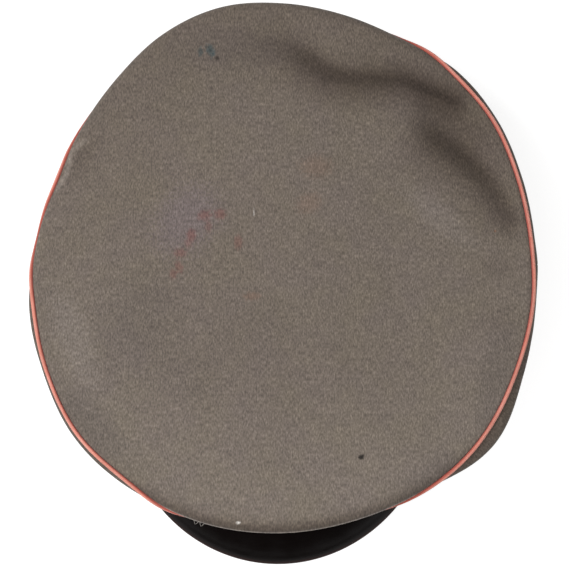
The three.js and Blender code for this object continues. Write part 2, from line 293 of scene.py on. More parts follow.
class VisorSettings(PropertyGroup):
    """Sizes and colours of the visor."""

    reach: size("Reach", "From the band to the tip", 0.0397)
    drop: size("Drop", "Drop of the tip below the band's lower edge", 0.034)
    half_span: FloatProperty(
        name="Half Span",
        description="Angle on each side of the front, seen from the crown's axis",
        default=math.radians(46),
        subtype="ANGLE",
    )
    thickness: size("Thickness", "Thickness of the visor", 0.0022)
    bulge: share("Bulge", "The blade's rise, as a share of its drop", 0.13)
    rim_width: size("Rim Width", "Width of the raised rim", 0.004)
    rim_height: size("Rim Height", "Height of the raised rim", 0.00015)
    flange: size("Flange", "Height of the part inside the band", 0.009)
    seat: size("Seat", "Room between the visor and the band", 0.0005)
    colour: colour("Colour", "Colour of the lacquer", (0.0036, 0.0022, 0.0020))
    edge: colour("Edge Colour", "Colour of the rubbed edge", (0.045, 0.014, 0.010))


class ClothSettings(PropertyGroup):
    """Colours and grain of the wool cloth."""

    olive: colour("Olive Wool", "Colour of the warmer patches", (0.164, 0.135, 0.106))
    grey: colour("Grey Wool", "Colour of the cooler patches", (0.165, 0.134, 0.115))
    lint: colour("Lint", "Colour of the lint", (0.36, 0.33, 0.29))
    # painted sheen: a pale line painted on the front rim's very edge, where the nap catches the light
    nap: share("Worn Nap", "How much paler the nap is on the front rim's very edge", 2.5)
    yarn: size("Yarn", "Width of a yarn", 0.00072)
    heather: share("Heather", "Contrast of the mixed fibres", 2.0)
    patches: size("Patches", "Size of the warmer and cooler patches", 0.030)
    # painted light: the top is painted paler towards its front rim and darker towards its back rim
    fade: share("Fade", "How much paler the top is at its front rim, and darker at its back rim", 0.15)
    # painted shade: the side cloth is painted darker just below the piping, where the roll shades it
    side_soil: share("Side Soil", "How dark the side cloth is soiled below the piping", 0.36)
    # painted shade along the rolled rim, and along the band's foot
    soil: FloatVectorProperty(
        name="Soil",
        description="How dark the rim is soiled, at the back (and the band's foot) and at the front",
        default=(0.06, 0.54),
        size=2,
    )


class StitchSettings(PropertyGroup):
    """Sizes and colour of the seam stitches."""

    pitch: size("Pitch", "From one stitch to the next", 0.0032)
    length: size("Length", "Length of a stitch", 0.0024)
    thickness: size("Thickness", "Thickness of the thread", 0.00042)
    wobble: share("Wobble", "How unevenly the stitches lie, in radians", 0.12)
    seed: IntProperty(name="Seed", description="Seed of the unevenness", default=4)
    colour: colour("Colour", "Colour of the thread", (0.11, 0.09, 0.07))


class StageSettings(PropertyGroup):
    """The floor, the lights and the camera."""

    camera_height: size("Camera Height", "Height of the camera over the floor", 1.2)
    camera_place: FloatVectorProperty(
        name="Camera Place",
        description="Where the camera stands over the cap",
        default=(0.0006, 0.0032),
        size=2,
        unit="LENGTH",
        precision=4,
    )
    lens: FloatProperty(name="Lens", description="Focal length in millimetres", default=133.6)
    key: watts("Key Light", "Power of the light from the cap's right", 40)
    fill: watts("Fill Light", "Power of the light overhead", 13)
    floor: colour("Floor", "Colour of the floor", (0.45, 0.45, 0.45))
    glow: share("Floor Glow", "How strongly the floor shines by itself, as a light table does", 0.78)


class CapSettings(PropertyGroup):
    """All the settings of the cap."""

    crown: PointerProperty(type=CrownSettings)
    piping: PointerProperty(type=PipingSettings)
    band: PointerProperty(type=BandSettings)
    visor: PointerProperty(type=VisorSettings)
    cloth: PointerProperty(type=ClothSettings)
    stitch: PointerProperty(type=StitchSettings)
    stage: PointerProperty(type=StageSettings)


def cap():
    return bpy.context.scene.visor_cap


# ---------------------------------------------------------------- the cap's shape

FOLD_ENDS = (0.3, 0.9)  # shares of a fold's length between which it has its full depth
FOLD_FADE = 12  # a power: the folds die out just before the roll
FOLD_STEPS = 24  # steps of a fold's curve for each of its points
SHADE_MIDDLE = 0.4  # where a fold's painted shade is darkest on its slope, as a share of the way up from its bottom
SHADE_OUTSIDE = 0.007  # how far the painted shade reaches from there towards the rim, at most
RIM_POWER = 4  # a power: how close to the rim the top cloth's dish and the rim's lift come up
ROLL_END = -55  # degrees at which the side cloth leaves the roll,
ROLL_LEAST = 12  # but at least this far past its edge at the piping
SWELL_BUILDS = 60  # degrees of the roll over which the swell comes up
SIDE_SEAMS = (-6, 186)  # bearings of the side cloth's two seams, at the left and the right,
SEAM_BUMP = 0.0006  # how far their allowance lifts the cloth
SEAM_SPREAD = 4  # and how wide that bump is in degrees
CLOTH_GAP = 0.00004  # between the piping and the cloth on each side of it
SEWN_GAP = 0.00003  # where the side cloth's halves meet each other and the band, edge to edge


def cosine(degrees):
    return np.cos(np.radians(degrees))


def sine(degrees):
    return np.sin(np.radians(degrees))


def smoothstep(value, low, high):
    part = np.clip((value - low) / (high - low), 0, 1)
    return part * part * (3 - 2 * part)


def lerp(start, end, part):
    return start + (end - start) * part


def smooth_curve(rows, place, closed=False):
    """Points of the smooth curve through the rows, at places counted in rows."""
    rows = np.asarray(rows, float)
    last = len(rows) - 1
    row = np.floor(place).astype(int)
    if not closed:
        row = np.minimum(row, last - 1)
    part = (place - row).reshape((-1,) + (1,) * (rows.ndim - 1))
    steps = [row + step for step in (-1, 0, 1, 2)]
    near = [rows[step % len(rows) if closed else np.clip(step, 0, last)] for step in steps]
    before, start, end, after = near
    slope = part * (3 * (start - end) + after - before)
    bend = 2 * before - 5 * start + 4 * end - after + slope
    return start + 0.5 * part * (end - before + part * bend)


def rim(column, bearing):
    """A column of the rim table as a smooth closed curve over the bearing."""
    rows = [getattr(row, column) for row in RIM]
    return smooth_curve(rows, np.asarray(bearing) % 360 / 360 * len(RIM), closed=True)


def band_reach(bearing, inset=0.0):
    """The band's outside from the crown's axis, less an inset: a ray meets an ellipse."""
    a = cap().band.half_width - inset
    b = cap().band.half_length - inset
    x, y = cap().crown.centre
    across = (cosine(bearing) / a) ** 2 + (sine(bearing) / b) ** 2
    along = cosine(bearing) * x / a**2 + sine(bearing) * y / b**2
    inside = (x / a) ** 2 + (y / b) ** 2 - 1
    return (np.sqrt(along**2 - across * inside) - along) / across


def lean_and_lift():
    """The angle of the cap and its height, so that the band's rear and the visor's tip touch the floor."""
    band, visor = cap().band, cap().visor
    base = 2 * band.half_length + visor.reach
    lean = math.atan2(visor.drop, base) + math.asin(band.flattened / math.hypot(base, visor.drop))
    return lean, band.half_length * math.sin(lean) - band.flattened


def surface_height(y):
    """Height of the floor in the cap's own frame."""
    lean, lift = lean_and_lift()
    return (y * math.sin(lean) - lift) / math.cos(lean)


def placed(points):
    """Points of the cap's own frame, where the cap lies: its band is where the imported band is."""
    lean, lift = lean_and_lift()
    band = cap().band
    back = band.half_length * math.cos(lean) + band.height * math.sin(lean)
    move = Vector(((BAND_LOW.x + BAND_HIGH.x) / 2, BAND_HIGH.y - back, FLOOR + lift))
    place = np.array(Matrix.Translation(move) @ Matrix.Rotation(-lean, 4, "X"))
    return points @ place[:3, :3].T + place[:3, 3]


def in_space(bearing, path):
    """Sections (out, up) at bearings as points of the cap's own frame."""
    x, y = cap().crown.centre
    turn = np.broadcast_to(np.asarray(bearing, float)[..., None], path.shape[:-1])
    out, up = path[..., 0], path[..., 1]
    return np.stack([x + out * cosine(turn), y + out * sine(turn), up], axis=-1)


def folds_at(x, y):
    """How far the folds and dents press the top cloth down at (x, y), and how light it is painted there:
    painted shade in the folds and dents, a painted highlight on the raised lips.
    """
    here = np.stack([x, y], axis=-1).reshape(-1, 1, 2)
    depth = np.zeros(here.shape[0])
    light = np.ones(here.shape[0])
    for fold in FOLDS:
        steps = len(fold.along) * FOLD_STEPS
        curve = smooth_curve(fold.along, np.linspace(0, len(fold.along) - 1, steps + 1))
        away = np.linalg.norm(here - curve, axis=-1)
        step = away.argmin(axis=1)
        away = away.min(axis=1)
        run = curve[np.minimum(step + 1, steps)] - curve[np.maximum(step - 1, 0)]
        off = curve[step] - here[:, 0]
        inward = off[:, 1] * run[:, 0] > off[:, 0] * run[:, 1]
        part = step / steps
        strength = smoothstep(part, 0, FOLD_ENDS[0]) * (1 - smoothstep(part, FOLD_ENDS[1], 1))
        inside, outside, fade = (lerp(*ends, part) for ends in (fold.inside, fold.outside, fold.fades))
        width = np.where(inward, inside, outside)
        depth += fold.depth * strength * (1 - smoothstep(away / width, 0, 1))
        off_middle = np.where(inward, away, -away) - inside * SHADE_MIDDLE
        reach = np.where(off_middle > 0, fade, np.minimum(fade, SHADE_OUTSIDE))
        dark = np.exp(-((off_middle / reach) ** 2))
        shaded = smoothstep(part, 0, fold.shaded[0]) * (1 - smoothstep(part, fold.shaded[1], 1))
        light *= 1 - fold.shade * shaded * dark
    for dent in DENTS:
        off_x, off_y = here[:, 0, 0] - dent.x, here[:, 0, 1] - dent.y
        along = off_x * cosine(dent.turn) + off_y * sine(dent.turn)
        across = off_y * cosine(dent.turn) - off_x * sine(dent.turn)
        sunk = np.exp(-((along / dent.length) ** 2) - (across / dent.width) ** 2)
        depth += dent.depth * sunk
        light *= 1 - dent.shade * sunk
    return depth.reshape(x.shape), light.reshape(x.shape)


def waves(points, spacing, octaves=2):
    """Smooth uneven waves between about -1 and 1 at points in space, about that spacing apart."""
    flat = (points / spacing).reshape(-1, 3)
    values = [noise.fractal(Vector(point), 1.0, 2.0, octaves) for point in flat]
    return np.array(values).reshape(points.shape[:-1])


def top_height(part, bearing):
    """Height of the top cloth, at a share of the way from the crown's axis to the roll."""
    crown = cap().crown
    fall = crown.front_lift * part * sine(bearing) + crown.saddle * part**2 * cosine(2 * bearing)
    lift = rim("lift", np.ravel(bearing)).reshape(np.shape(bearing))
    rim_part = part**RIM_POWER
    return crown.height - fall - crown.dish * (1 - rim_part) + lift * rim_part


class Roll(NamedTuple):
    """The rolled rim at some bearings: where it starts from the top, its centre and its seam's angle."""

    start: np.ndarray
    out: np.ndarray
    up: np.ndarray
    seam: np.ndarray

    def point(self, angle, radius):
        """The section's point on the roll at an angle."""
        out = self.out[:, None] + radius * cosine(angle)
        up = self.up[:, None] + radius * sine(angle)
        return np.stack([out, up], axis=-1)


def roll_at(bearing):
    """The roll, which goes on from the top cloth at the slope that top_height has at the rim."""
    crown = cap().crown
    fall = crown.front_lift * sine(bearing) + 2 * crown.saddle * cosine(2 * bearing)
    reach = rim("reach", bearing)
    slope = (RIM_POWER * (crown.dish + rim("lift", bearing)) - fall) / reach
    start = 90 + np.degrees(np.arctan(slope))
    up = top_height(1.0, bearing) - crown.roll * sine(start)
    return Roll(start, reach - crown.roll, up, rim("seam", bearing))


def seam_half():
    """Half of the way between the two cloths' edges under the piping, in degrees of the roll."""
    crown, piping = cap().crown, cap().piping
    to_piping = crown.roll + piping.proud
    to_cloth = crown.roll - crown.wall / 2
    apart = piping.radius + crown.wall / 2 + CLOTH_GAP
    angle = math.acos((to_piping**2 + to_cloth**2 - apart**2) / (2 * to_piping * to_cloth))
    return math.degrees(angle - crown.wall / 2 / to_cloth)


def between(start, end, parts):
    """Values between two arrays of ends, one row for each pair."""
    return lerp(np.asarray(start)[:, None], np.asarray(end)[:, None], parts)


# ---------------------------------------------------------------- meshes

CLOTH_UV = "cloth"
DOUBLES = 2e-6  # points closer than this are one
END_SHARPNESS = 3  # how many times tighter a strip's two ends are rounded than its edges
ROUND_STEPS = 5  # steps of a rounded edge,
FILM_STEPS = 64  # of the top cloth from its middle to the roll,
ROLL_STEPS = 14  # of each cloth on the roll,
SIDE_STEPS = 30  # of the side cloth below it,
BAND_STEPS = 20  # of the band's height,
STEM_STEPS = 4  # of the visor's flange,
BLADE_STEPS = 40  # of its blade,
VISOR_SECTIONS = 181  # and across the visor
BEARINGS = 420  # sections of the crown and the band,
PIPING_BEARINGS = 720  # and of the piping,
PIPING_STEPS = 16  # which has this many steps round it
FILM_SPREAD = 0.8  # a power: how closely the top cloth's steps crowd towards the rim
SIDE_LENGTH = 0.4  # about how long a half of the side cloth is,
SIDE_DROP = 0.06  # and how long its way down is, from the roll to the band

WAVE_SPACING = 0.045  # of the slow waves in the top cloth
PUCKER_SPACING = 0.009  # of the puckers in the side cloth,
PUCKERED = (0.002, 0.006)  # which come up and then die out within these distances from the piping
SLACK_SPACING = 0.040  # of the side cloth's slack folds,
SLACK_SPAN = (-0.1, 1.05)  # which are half a wave over the way down that runs between these shares of it,
SLACK_HEM = 0.02  # and die out this close to the edges
PUCKER_UPRIGHT = 0.15  # how much a place's height counts in the puckers, so that they run up and down,
SLACK_UPRIGHT = 0.3  # and in the slack folds

PAINTED_LIGHT_RING = (0.45, 0.95)  # shares of the way to the rim between which the top cloth's painted light comes up,
PAINTED_LIGHT_BEARING = 262  # and the bearing of its side painted palest; the opposite side is painted as much darker
FRONT_FOCUS = 4  # a power: how closely the painted rim shade and the painted sheen line keep to that side
PAINTED_SHADE_WIDTH = 0.005  # of the strip of painted shade along the rim,
SIDE_PAINTED_SHADE_WIDTH = 0.009  # of the painted shade below it on the side cloth,
PAINTED_SHEEN_WIDTH = 0.0003  # and of the painted sheen line on the rim's very edge, as seen from above

BAND_BELLY = 0.0004  # how far the middle of the band's height stands out
UNEVEN = 0.05  # how unevenly thick the piping is, as a share of its radius,
UNEVEN_SPACING = 0.007  # and how far apart its thicker places are
CROWN_SIDE = (28, 85)  # degrees from the piping's crest over which it is painted darker as shade where it sinks into the seam,
SIDE_SHADE = 0.2  # and the share of that painted shade on the side cloth's side

VISOR_TAPER = {"reach": 0.9, "drop": 0.8, "flange": 0.5}  # powers: how fast each dies out to the ends
VISOR_TURN = 87  # degrees of the circle that they follow, on each side of the front
VISOR_BEND = 0.0003  # how far the turn between its flange and its blade is rounded
STEM_FOOT = 1 / 3  # how high the flange starts above that turn, as a share of its height
RIM_SLOPE = 0.001  # half of the width over which the raised rim comes up
RIM_NARROWS = 4  # the rim dies out where the blade's reach is less than this many rim widths
RUBBED_WIDTH = 0.0012  # of the rubbed edge


def rounding(width, span):
    """Shares of a span that end in steps close enough together to round an edge of that width."""
    bends = np.radians(np.linspace(90, 0, ROUND_STEPS + 1))
    steps = 1 - width / span * (1 - np.sin(bends[::-1])[::-1])
    return np.sort(steps)


def spaced(count, width, span, both=False):
    """Shares from 0 to 1, even in the middle and closer together at the end, or at both ends."""
    ends = rounding(width, span)
    start = 1 - ends[::-1] if both else np.zeros(1)
    middle = np.linspace(start[-1], ends[0], count + 1)[1:-1]
    return np.concatenate([start, middle, ends])


def normals_of(grid, ring=False, pole=False):
    """Outward normals of a surface given as sections, which run counter-clockwise and each outwards."""
    along = np.gradient(grid, axis=0)
    if ring:
        along[0] = along[-1] = (grid[1] - grid[-2]) / 2
    across = np.gradient(grid, axis=1)
    normals = np.cross(across, along)
    if pole:
        normals[:, 0] = normals[:, 1].mean(axis=0)
    return normals / np.linalg.norm(normals, axis=-1, keepdims=True)


def lengths_along(grid, axis):
    """Distances along the grid's lines from their first point."""
    steps = np.linalg.norm(np.diff(grid, axis=axis), axis=-1)
    zero = np.zeros_like(np.take(steps, [0], axis=axis))
    return np.concatenate([zero, np.cumsum(steps, axis=axis)], axis=axis)


def edge_distance(grid, ring=False, pole=False):
    """How far each point of the grid lies from its nearest free edge."""
    down = lengths_along(grid, 1)
    nearest = down[:, -1:] - down
    if not pole:
        nearest = np.minimum(nearest, down)
    if not ring:
        round_it = lengths_along(grid, 0)
        from_ends = np.minimum(round_it, round_it[-1:] - round_it)
        nearest = np.minimum(nearest, from_ends * END_SHARPNESS)
    return nearest


def grid_faces(sections, steps):
    """The four corners of each face of a grid of points."""
    corner = (np.arange(sections - 1)[:, None] * steps + np.arange(steps - 1)).ravel()
    return np.stack([corner, corner + 1, corner + steps + 1, corner + steps], axis=1)


def new_mesh(name, points, faces, uv, marks):
    """A mesh with a UV map and with marks, which are named values at its points."""
    mesh = bpy.data.meshes.new(name)
    mesh.from_pydata(points, [], faces.tolist())
    mesh.uv_layers.new(name=CLOTH_UV).data.foreach_set("uv", uv[faces.ravel()].ravel())
    for label, values in marks.items():
        mesh.attributes.new(label, "FLOAT", "POINT").data.foreach_set("value", values)
    return mesh


def new_object(name, data):
    made = bpy.data.objects.new(name, data)
    bpy.context.scene.collection.objects.link(made)
    return made


def wall(name, outer, thickness, uv, marks, ring=False, pole=False):
    """A closed wall under a surface of sections, its free edges rounded. marks are values at its points."""
    normals = normals_of(outer, ring, pole)
    middle = outer - normals * thickness / 2
    inset = np.clip(1 - edge_distance(middle, ring, pole) / (thickness / 2), 0, 1)
    half = (thickness / 2 * np.sqrt(1 - inset**2))[..., None]
    points = np.concatenate([middle + normals * half, middle - normals * half]).reshape(-1, 3)
    sections, steps = outer.shape[:2]
    face = grid_faces(sections, steps)
    faces = np.concatenate([face, face[:, ::-1] + sections * steps])
    both = {label: np.tile(values.ravel(), 2) for label, values in marks.items()}
    return finished(new_mesh(name, points, faces, np.tile(uv.reshape(-1, 2), (2, 1)), both))


def finished(mesh):
    """Merges a mesh's doubles, lays it in its place and makes it a smooth object."""
    shape = bmesh.new()
    shape.from_mesh(mesh)
    bmesh.ops.remove_doubles(shape, verts=shape.verts, dist=DOUBLES)
    shape.to_mesh(mesh)
    shape.free()
    points = np.empty(len(mesh.vertices) * 3)
    mesh.vertices.foreach_get("co", points)
    mesh.vertices.foreach_set("co", placed(points.reshape(-1, 3)).ravel())
    mesh.shade_smooth()
    mesh.update()
    return new_object(mesh.name, mesh)


def keep(made, material, node):
    """Gives a piece its material and its place in the frame, instead of a node of the frame."""
    made.data.materials.append(material)
    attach(made, "root")
    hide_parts(node)


def all_round(count):
    return np.linspace(0, 360, count + 1)


def top_surface(bearing):
    """Sections of the top cloth's outside: from the crown's axis over the rim to its edge at the piping."""
    crown = cap().crown
    rolled = roll_at(bearing)
    edge = rolled.out + crown.roll * cosine(rolled.start)
    parts = sine(np.linspace(0, 90, FILM_STEPS + 1)) ** FILM_SPREAD
    out = edge[:, None] * parts
    film = np.stack([out, top_height(parts, bearing[:, None])], axis=-1)
    flat = in_space(bearing, film) * (1, 1, 0)
    relief = crown.waves * waves(flat, WAVE_SPACING) - folds_at(flat[..., 0], flat[..., 1])[0]
    film[..., 1] += relief * (1 - parts**FOLD_FADE)
    end = rolled.seam + seam_half()
    span = np.radians(rolled.start - end).mean() * crown.roll
    steps = spaced(ROLL_STEPS, crown.wall / 2, span)[1:]
    angle = between(rolled.start, end, steps)
    return np.concatenate([film, rolled.point(angle, crown.roll)], axis=1)


def side_surface(bearing):
    """Sections of the side cloth's outside: from its edge at the piping round the roll and in to the band."""
    crown, band = cap().crown, cap().band
    rolled = roll_at(bearing)
    start = rolled.seam - seam_half()
    end = np.minimum(start - ROLL_LEAST, ROLL_END)
    span = np.radians(start - end).mean() * crown.roll
    angle = between(start, end, 1 - spaced(ROLL_STEPS, crown.wall / 2, span)[::-1])
    from_seam = np.min([np.abs((bearing - seam + 180) % 360 - 180) for seam in SIDE_SEAMS], axis=0)
    bump = SEAM_BUMP * np.exp(-((from_seam / SEAM_SPREAD) ** 2))
    puff = (rim("swell", bearing) + bump)[:, None]
    arc = rolled.point(angle, crown.roll + puff * smoothstep(start[:, None] - angle, 0, SWELL_BUILDS))
    first = arc[:, -1]
    last = np.stack([band_reach(bearing), np.full(len(bearing), band.height + SEWN_GAP)], axis=-1)
    heading = np.stack([sine(end), -cosine(end)], axis=-1)
    stand = lerp(last, first, crown.lean) + np.array([0, crown.rise])
    down = bezier(first, first + heading * crown.tuck, stand, last)
    return np.concatenate([arc, down], axis=1)


def bezier(start, leave, arrive, end):
    """Points of a cubic curve, after its start, for arrays of its four points."""
    part = spaced(SIDE_STEPS, cap().crown.wall / 2, SIDE_DROP)[1:, None]
    start, leave, arrive, end = (point[:, None] for point in (start, leave, arrive, end))
    first = start * (1 - part) ** 3 + 3 * leave * part * (1 - part) ** 2
    return first + 3 * arrive * part**2 * (1 - part) + end * part**3


def strip_uv(grid):
    """Distances in metres round and down a strip of cloth, so that a weave keeps its scale on it."""
    middle = grid.shape[1] // 2
    round_it = lengths_along(grid[:, middle : middle + 1], 0)
    return np.stack(np.broadcast_arrays(round_it, -lengths_along(grid, 1)), axis=-1)


def make_crown_top():
    """The top cloth, with its folds, from its middle over the rolled rim to the piping."""
    bearing = all_round(BEARINGS)
    outer = in_space(bearing, top_surface(bearing))
    cloth = cap().cloth
    out = np.linalg.norm(outer[..., :2] - np.array(cap().crown.centre), axis=-1)
    reach = rim("reach", bearing)[:, None]
    to_front = cosine(bearing - PAINTED_LIGHT_BEARING)[:, None]
    painted_light = 1 + cloth.fade * smoothstep(out / reach, *PAINTED_LIGHT_RING) * to_front
    front = np.maximum(0, to_front) ** FRONT_FOCUS
    from_rim = np.maximum(0, reach - out)
    soil_and_shade = 1 - lerp(*cloth.soil, front) * np.exp(-((from_rim / PAINTED_SHADE_WIDTH) ** 2))
    nap = 1 + cloth.nap * front * np.exp(-((from_rim / PAINTED_SHEEN_WIDTH) ** 2))
    # the tone mark is painted light and shade: painted fold shade, painted front light and back shade,
    # painted rim shade and the painted sheen line
    marks = {"tone": folds_at(outer[..., 0], outer[..., 1])[1] * painted_light * soil_and_shade * nap}
    return wall("top_cloth", outer, cap().crown.wall, outer[..., :2], marks, ring=True, pole=True)


def make_crown_side(name, start, end):
    """One half of the side cloth, with puckers at the piping and slack folds above the band."""
    crown = cap().crown
    gap = math.degrees(SEWN_GAP / 2 / band_reach(start))
    parts = spaced(BEARINGS // 2, crown.wall / 2, SIDE_LENGTH, both=True)
    bearing = start + gap + (end - start - 2 * gap) * parts
    outer = in_space(bearing, side_surface(bearing))
    down = lengths_along(outer, 1)
    puckered = smoothstep(down, 0, PUCKERED[0]) * np.exp(-down / PUCKERED[1])
    ripple = waves(outer * (1, 1, PUCKER_UPRIGHT), PUCKER_SPACING, octaves=1)
    slack = sine(180 * np.clip(lerp(*SLACK_SPAN, down / down[:, -1:]), 0, 1)) ** 2
    slack *= smoothstep(edge_distance(outer), 0, SLACK_HEM)
    sway = waves(outer * (1, 1, SLACK_UPRIGHT), SLACK_SPACING)
    relief = crown.puckers * ripple * puckered + crown.gathers * sway * slack
    outer = outer + normals_of(outer) * relief[..., None]
    # painted shade below the piping, where the roll shades the side cloth
    marks = {"tone": 1 - cap().cloth.side_soil * np.exp(-((down / SIDE_PAINTED_SHADE_WIDTH) ** 2))}
    return wall(name, outer, crown.wall, strip_uv(outer), marks)


def band_foot(bearing, out):
    """Height of the band's lower edge: 0, but more where it is pressed flat on the floor."""
    return np.maximum(0, surface_height(cap().crown.centre[1] + out * sine(bearing)))


def make_band():
    """The band, upright and oval, with its rear lower edge pressed flat on the floor."""
    band = cap().band
    bearing = all_round(BEARINGS)
    out = band_reach(bearing)
    foot = band_foot(bearing, out)
    parts = spaced(BAND_STEPS, band.wall / 2, band.height, both=True)
    up = between(np.full_like(foot, band.height), foot, parts)
    outer = in_space(bearing, np.stack([out[:, None] + BAND_BELLY * sine(180 * parts), up], axis=-1))
    # painted shade: the band is painted darker towards its foot, where it meets the floor
    marks = {"tone": 1 - cap().cloth.soil[0] * np.exp(-(((up - foot[:, None]) / PAINTED_SHADE_WIDTH) ** 2))}
    return wall("band_cloth", outer, band.wall, strip_uv(outer), marks, ring=True)


def make_visor():
    """The visor: a flange inside the band, a turn under its lower edge, and the blade with its raised rim."""
    visor = cap().visor
    turn = VISOR_TURN * np.linspace(-1, 1, VISOR_SECTIONS)
    bearing = 270 + math.degrees(visor.half_span) * sine(turn)
    reach, drop, flange = (
        getattr(visor, name) * cosine(turn) ** power for name, power in VISOR_TAPER.items()
    )
    half = visor.thickness / 2
    root = band_reach(bearing)
    inside = band_reach(bearing, cap().band.wall) - visor.seat - half
    under = np.full_like(root, -visor.seat - half)
    edge = half / np.hypot(1, (1 + 4 * visor.bulge) * drop / reach) - drop
    parts = spaced(BLADE_STEPS, half, visor.reach)
    rise = 4 * visor.bulge * drop[:, None] * parts * (1 - parts)
    blade = np.stack([root[:, None] + reach[:, None] * parts, between(under, edge, parts) + rise], axis=-1)
    stem_up = between(flange, flange * STEM_FOOT, 1 - spaced(STEM_STEPS, half, visor.flange)[::-1])
    stem = np.stack([np.broadcast_to(inside[:, None], stem_up.shape), stem_up], axis=-1)
    bend = np.stack([inside + VISOR_BEND, under + VISOR_BEND], axis=-1)[:, None]
    middle = in_space(bearing, np.concatenate([stem, bend, blade], axis=1))
    outer = middle + normals_of(middle) * half
    to_edge = reach[:, None] * (1 - parts)
    rim_up = 1 - smoothstep(to_edge, visor.rim_width - RIM_SLOPE, visor.rim_width + RIM_SLOPE)
    rim_up = rim_up * np.minimum(1, reach / visor.rim_width / RIM_NARROWS)[:, None]
    outer[:, -len(parts) :, 2] += visor.rim_height * rim_up
    rubbed = np.zeros(outer.shape[:2])
    rubbed[:, -len(parts) :] = np.exp(-((to_edge / RUBBED_WIDTH) ** 2))
    made = wall("visor_blade", outer, visor.thickness, strip_uv(outer), {"edge": rubbed})
    lay_on_floor(made)
    return made


def lay_on_floor(made):
    """Presses flat what would reach through the floor."""
    for vertex in made.data.vertices:
        vertex.co.z = max(vertex.co.z, FLOOR)


def make_piping():
    """The piping: a thin cord of cloth in the rim seam."""
    crown, piping = cap().crown, cap().piping
    bearing = all_round(PIPING_BEARINGS)
    rolled = roll_at(bearing)
    centre = rolled.point(rolled.seam[:, None], crown.roll + piping.proud)
    turn = all_round(PIPING_STEPS)[::-1]
    angle = rolled.seam[:, None] + turn
    along = in_space(bearing, centre)
    radius = piping.radius * (1 + UNEVEN * waves(along, UNEVEN_SPACING))
    section = np.stack([cosine(angle), sine(angle)], axis=-1) * radius[..., None]
    points = in_space(bearing, centre + section).reshape(-1, 3)
    across = -np.radians(turn) * piping.radius
    uv = np.stack(np.broadcast_arrays(lengths_along(along, 0), across), axis=-1).reshape(-1, 2)
    # the seam mark is painted shade on the sides of the piping that sink into the seam
    off_crest = (turn + 180) % 360 - 180
    seam = smoothstep(off_crest, *CROWN_SIDE) + SIDE_SHADE * smoothstep(-off_crest, *CROWN_SIDE)
    marks = {"seam": np.tile(seam, len(bearing))}
    return finished(new_mesh("piping", points, grid_faces(len(bearing), len(turn)), uv, marks))


# ---------------------------------------------------------------- shader groups


def is_output(value):
    return isinstance(value, bpy.types.NodeSocket)


def feed(tree, socket, value):
    """Links another node's output to a socket, or sets the socket to a plain value."""
    if is_output(value):
        tree.links.new(value, socket)
    else:
        socket.default_value = value


def add(tree, kind, inputs, **settings):
    """Adds a node, with its settings and with its inputs taken from values or other nodes' outputs."""
    made = tree.nodes.new(kind)
    for name, value in settings.items():
        setattr(made, name, value)
    for key, value in inputs.items():
        feed(tree, made.inputs[key], value)
    return made


def maths(tree, operation, *values):
    return add(tree, "ShaderNodeMath", dict(enumerate(values)), operation=operation).outputs[0]


def vector_maths(tree, operation, *values):
    made = add(tree, "ShaderNodeVectorMath", dict(enumerate(values)), operation=operation)
    return made.outputs["Value" if operation == "LENGTH" else "Vector"]


def plus(tree, first, second):
    return maths(tree, "ADD", first, second)


def times(tree, first, second):
    return maths(tree, "MULTIPLY", first, second)


def combined(tree, x, y=None, z=None):
    """One vector from three values, or from one value three times."""
    y, z = (x if part is None else part for part in (y, z))
    return add(tree, "ShaderNodeCombineXYZ", {0: x, 1: y, 2: z}).outputs[0]


def parted(tree, vector):
    """A vector's three values."""
    return add(tree, "ShaderNodeSeparateXYZ", {0: vector}).outputs


def counted(tree, vector, step):
    """A place counted in steps, so that a pattern of size 1 gets the step's size."""
    return vector_maths(tree, "DIVIDE", vector, combined(tree, step))


def ramp(tree, value, low=0.0, high=1.0, start=0.0, end=1.0):
    """A smooth way from start to end while a value goes from low to high."""
    inputs = {"Value": value, "From Min": low, "From Max": high, "To Min": start, "To Max": end}
    return add(tree, "ShaderNodeMapRange", inputs, interpolation_type="SMOOTHSTEP").outputs["Result"]


def noise_of(tree, vector, scale=1.0, detail=2.0, roughness=0.5):
    """Smooth noise about 0.5."""
    inputs = {"Vector": vector, "Scale": scale, "Detail": detail, "Roughness": roughness}
    return add(tree, "ShaderNodeTexNoise", inputs).outputs["Fac"]


def mixed(tree, factor, first, second, blend="MIX"):
    """One colour mixed into another."""
    first, second = (tint if is_output(tint) else (*tint, 1) for tint in (first, second))
    inputs = {0: factor, 6: first, 7: second}
    return add(tree, "ShaderNodeMix", inputs, data_type="RGBA", blend_type=blend).outputs[2]


def laid_over(tree, base, tint, mask, strength):
    """A colour with another laid over it, where a mask says and as strongly as the last value says."""
    return mixed(tree, times(tree, mask, strength), base, tint)


KINDS = {float: "NodeSocketFloat", tuple: "NodeSocketVector"}
ORIGIN = (0.0, 0.0, 0.0)
TUFT_SHARE = 0.25  # how much the wool's tufts count against its finer fibres,
TUFT_SCALE = 0.36  # and how many of them lie where one finer fibre lies
TWILL_SLANT = 0.6  # how many yarns the twill line moves across for each one along the warp
TWILL_HEIGHT = 0.12  # how high the twill stands against the fibres
TWIST_HEIGHT = 0.2  # how high a thread's twist stands against its fibres,
FIBRE_SCALE = 1.3  # how many of those fibres lie along one of its turns,
FIBRE_CONTRAST = 0.35  # and how much they differ in tone
SPOT_EDGE = (1.1, 0.3)  # radii between which a mark comes up from nothing


